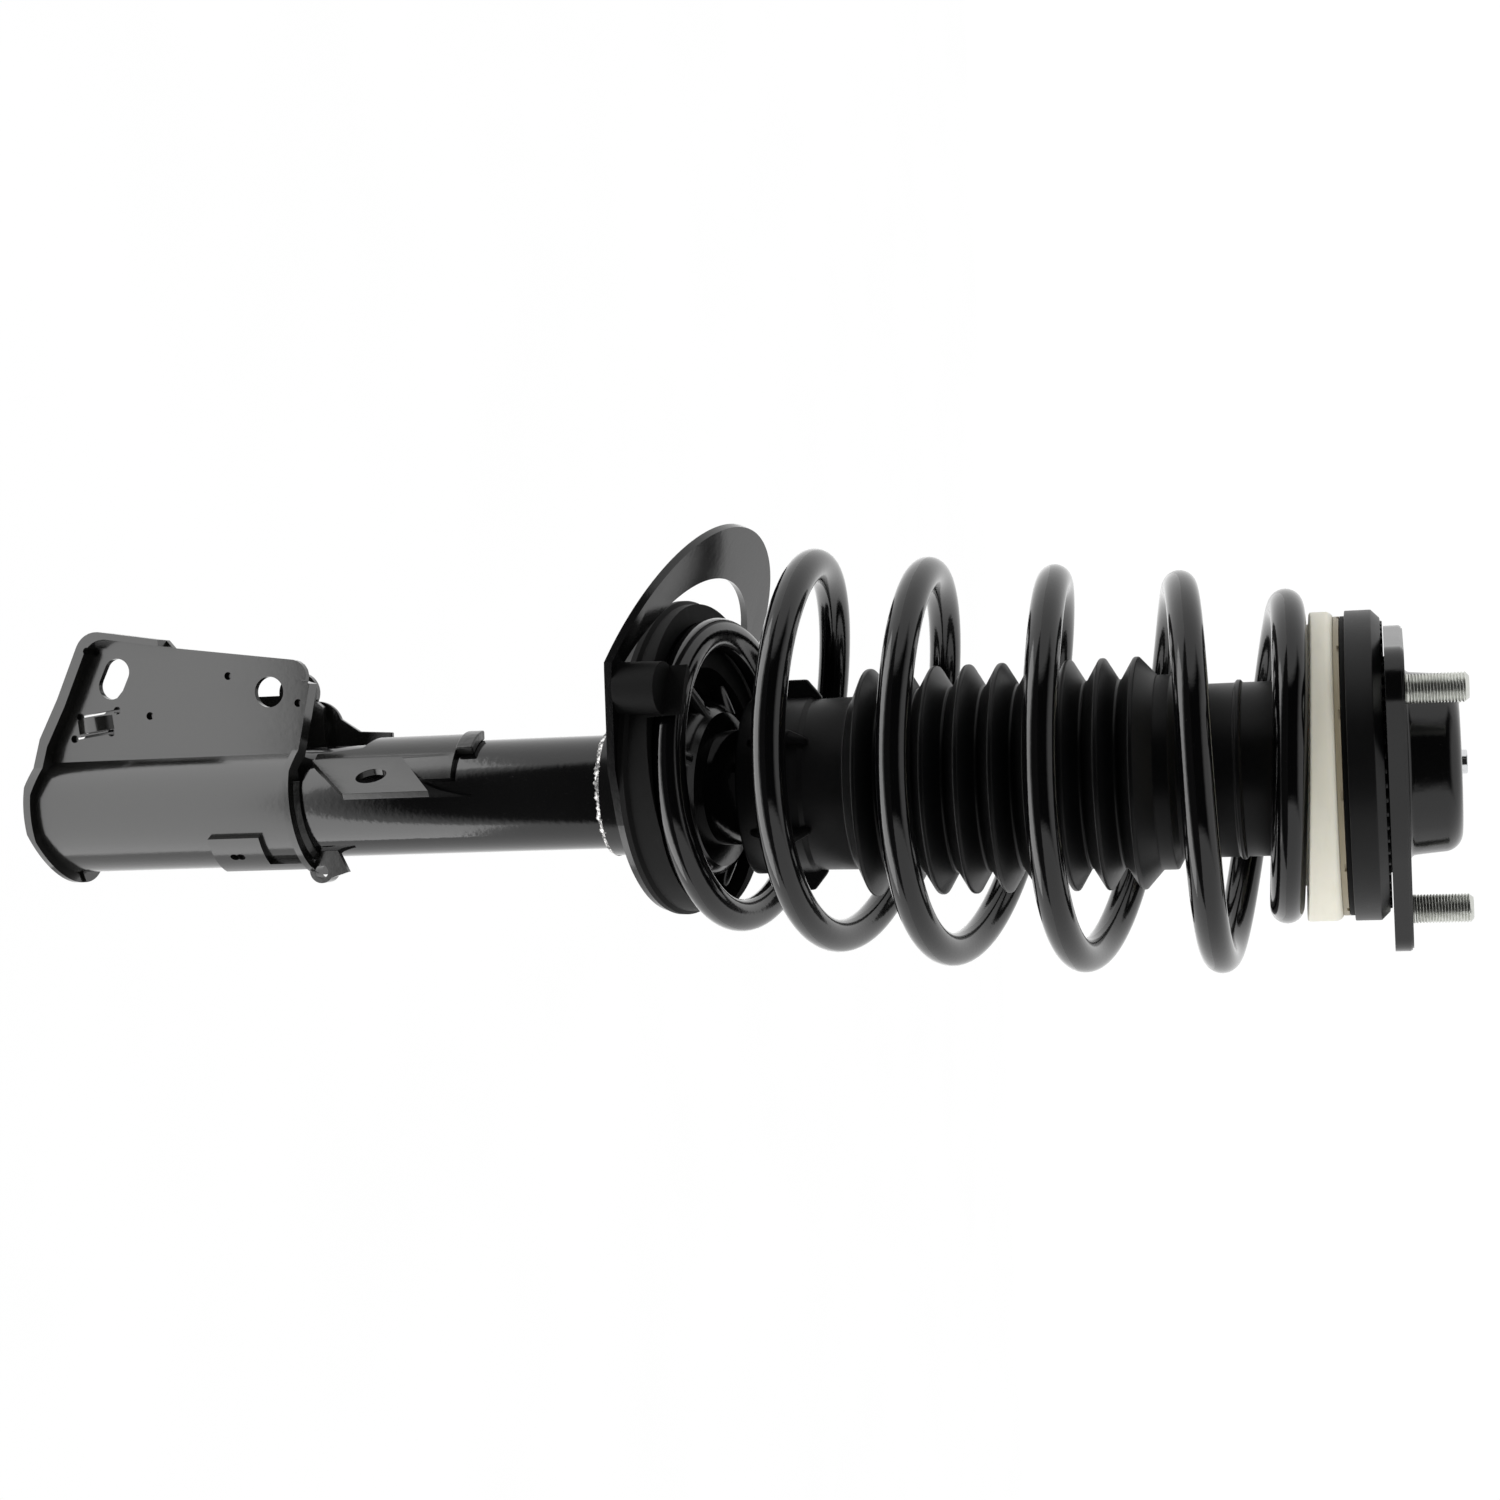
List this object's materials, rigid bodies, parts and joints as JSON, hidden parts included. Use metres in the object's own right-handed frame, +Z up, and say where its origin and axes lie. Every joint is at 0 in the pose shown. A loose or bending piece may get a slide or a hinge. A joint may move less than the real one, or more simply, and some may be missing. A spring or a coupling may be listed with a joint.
{
  "type": "suspension strut assembly",
  "caption": "Front suspension strut with damper, slotted knuckle bracket, offset coil spring, pleated dust boot, swivelling spring seat and studded rubber top mount.",
  "frame": {"origin": "centre of the mount plate's flat top face, on the strut axis", "axes": "+Z up the strut axis, the way the studs point; -X outboard, towards the knuckle ears; -Y the side of the stabiliser link bracket"},
  "size_m": [0.2013, 0.1767, 0.6438],
  "materials": {
    "mount_paint": "satin black",
    "spring_paint": "gloss black",
    "tube_paint": "gloss black",
    "seat_paint": "gloss black",
    "bracket_paint": "gloss black electrocoat",
    "link_paint": "gloss black electrocoat",
    "painted_weld": "painted weld bead",
    "weld": "bare weld bead",
    "zinc": "zinc plated",
    "bare_steel": "ground steel",
    "chromed_rod": "hard chrome",
    "sintered": "sintered iron",
    "bronze": "bronze-lined bush",
    "rubber": "matt black rubber",
    "moulded_black": "moulded black, slightly worn",
    "boot": "matt charcoal moulding",
    "nylon": "natural nylon",
    "nylon_base": "natural nylon, amber",
    "urethane": "urethane foam",
    "band": "PTFE band"
  },
  "bodies": {
    "top_mount": {"mount_plate": "mount_paint", "mount_studs": "zinc", "mount_rubber": "rubber", "inner_sleeve": "bare_steel", "lower_cup": "mount_paint", "bearing_cover": "moulded_black", "bearing_seal": "rubber", "upper_race": "bare_steel", "rod_washer": "zinc", "rod_nut": "zinc", "piston_rod": "chromed_rod", "bump_stop": "urethane", "rebound_stop": "bare_steel", "rebound_pad": "rubber", "piston": "sintered", "piston_band": "band", "valve_shims": "bare_steel", "piston_nut": "zinc"},
    "ball_set": {"bearing_cage": "nylon", "bearing_balls": "bare_steel"},
    "spring_seat": {"lower_race": "bare_steel", "bearing_base": "nylon_base", "upper_spring_seat": "nylon", "dust_boot": "boot", "coil_spring": "spring_paint"},
    "strut_body": {"damper_tube": "tube_paint", "base_cap": "tube_paint", "striker_cap": "tube_paint", "oil_seal": "rubber", "rod_guide": "sintered", "guide_bush": "bronze", "inner_cylinder": "bare_steel", "base_valve": "sintered", "lower_spring_seat": "seat_paint", "seat_weld": "weld", "lower_isolator": "rubber", "knuckle_bracket": "bracket_paint", "bracket_weld": "painted_weld", "hose_tab": "bracket_paint", "wire_clip": "bracket_paint", "link_bracket": "link_paint", "link_weld": "painted_weld", "hose_eye": "bracket_paint", "eye_weld": "painted_weld"}
  },
  "joints": [
    {"name": "steer", "type": "hinge", "parent": "top_mount", "child": "spring_seat", "pos_m": [0, 0, 0], "axis": [0, 0, 1], "range_deg": [-40, 40]},
    {"name": "ball_roll", "type": "hinge", "parent": "top_mount", "child": "ball_set", "pos_m": [0, 0, 0], "axis": [0, 0, 1], "range_deg": [-20, 20]},
    {"name": "jounce", "type": "slide", "parent": "spring_seat", "child": "strut_body", "axis": [0, 0, 1], "range_m": [0, 0.15], "stiffness_N_per_m": 28000, "springref_m": -0.05, "deforming": ["coil_spring", "dust_boot"]}
  ],
  "couplings": [
    {"joint": "ball_roll", "follows": "steer", "ratio": 0.5}
  ]
}
